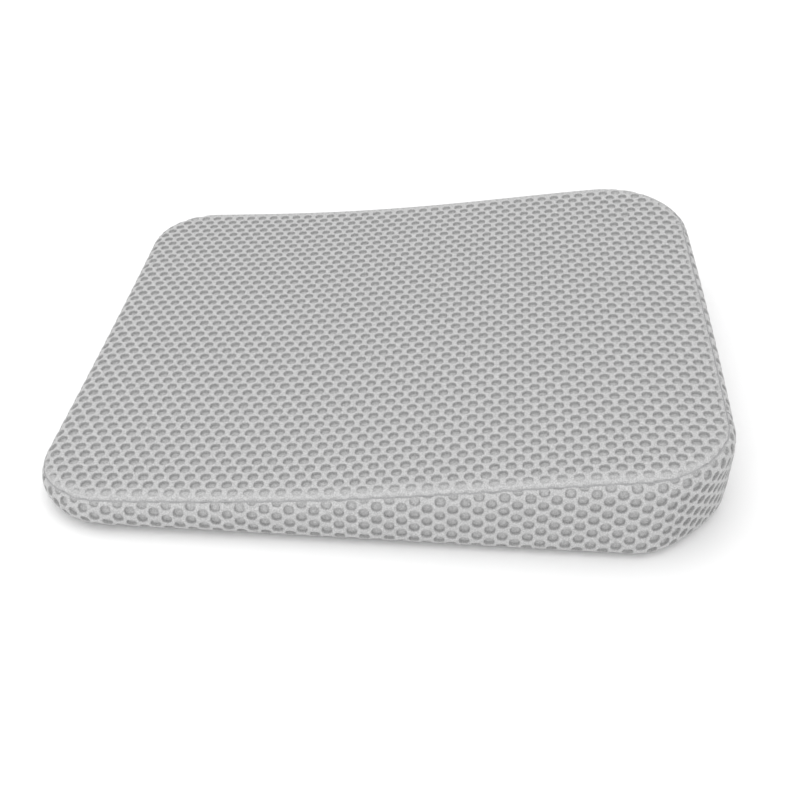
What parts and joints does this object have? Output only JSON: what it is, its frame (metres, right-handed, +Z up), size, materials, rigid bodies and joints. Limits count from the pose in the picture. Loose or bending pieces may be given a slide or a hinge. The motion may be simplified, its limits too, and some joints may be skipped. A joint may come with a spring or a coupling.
{
  "type": "seat cushion",
  "caption": "Wedge seat cushion: foam core in a liner, inside a sewn air-mesh cover with an anti-slip base and a zip across its thick rear edge.",
  "frame": {"origin": "centre of the cushion's footprint, on the plane it rests on", "axes": "+X from the thin front edge to the thick rear edge, +Y across the seat towards the end where the zip closes, +Z up"},
  "size_m": [0.4048, 0.346, 0.0602],
  "materials": {
    "mesh": "open spacer mesh, matt",
    "base_fabric": "plain knit, matt",
    "silicone": "satin",
    "thread": "twisted thread",
    "liner": "thin knit",
    "foam": "open-cell foam, matt",
    "zip_tape": "twill weave",
    "zip_coil": "nylon, satin",
    "zip_metal": "enamelled, satin"
  },
  "bodies": {
    "cushion": {"foam_core": "foam", "inner_liner": "liner", "top_panel": "mesh", "side_band": "mesh", "bottom_panel": "base_fabric", "grip_dots": "silicone", "rear_strip_upper": "mesh", "rear_strip_lower": "mesh", "top_seam_thread": "thread", "bottom_seam_thread": "thread", "band_joint_threads": "thread", "zip_tape_upper": "zip_tape", "zip_tape_lower": "zip_tape", "zip_coil_upper": "zip_coil", "zip_coil_lower": "zip_coil", "zip_top_stops": "zip_metal", "zip_bottom_stop": "zip_metal", "zip_stitching": "thread"},
    "slider": {"zip_slider": "zip_metal"},
    "pull": {"zip_pull": "zip_metal"}
  },
  "joints": [
    {"name": "zip_slide", "type": "slide", "parent": "cushion", "child": "slider", "axis": [0, -1, 0], "range_m": [0, 0.1885]},
    {"name": "pull_swing", "type": "hinge", "parent": "slider", "child": "pull", "pos_m": [0.20325, 0.09435, 0.028], "axis": [0, 0, 1], "range_deg": [0, 180]}
  ]
}
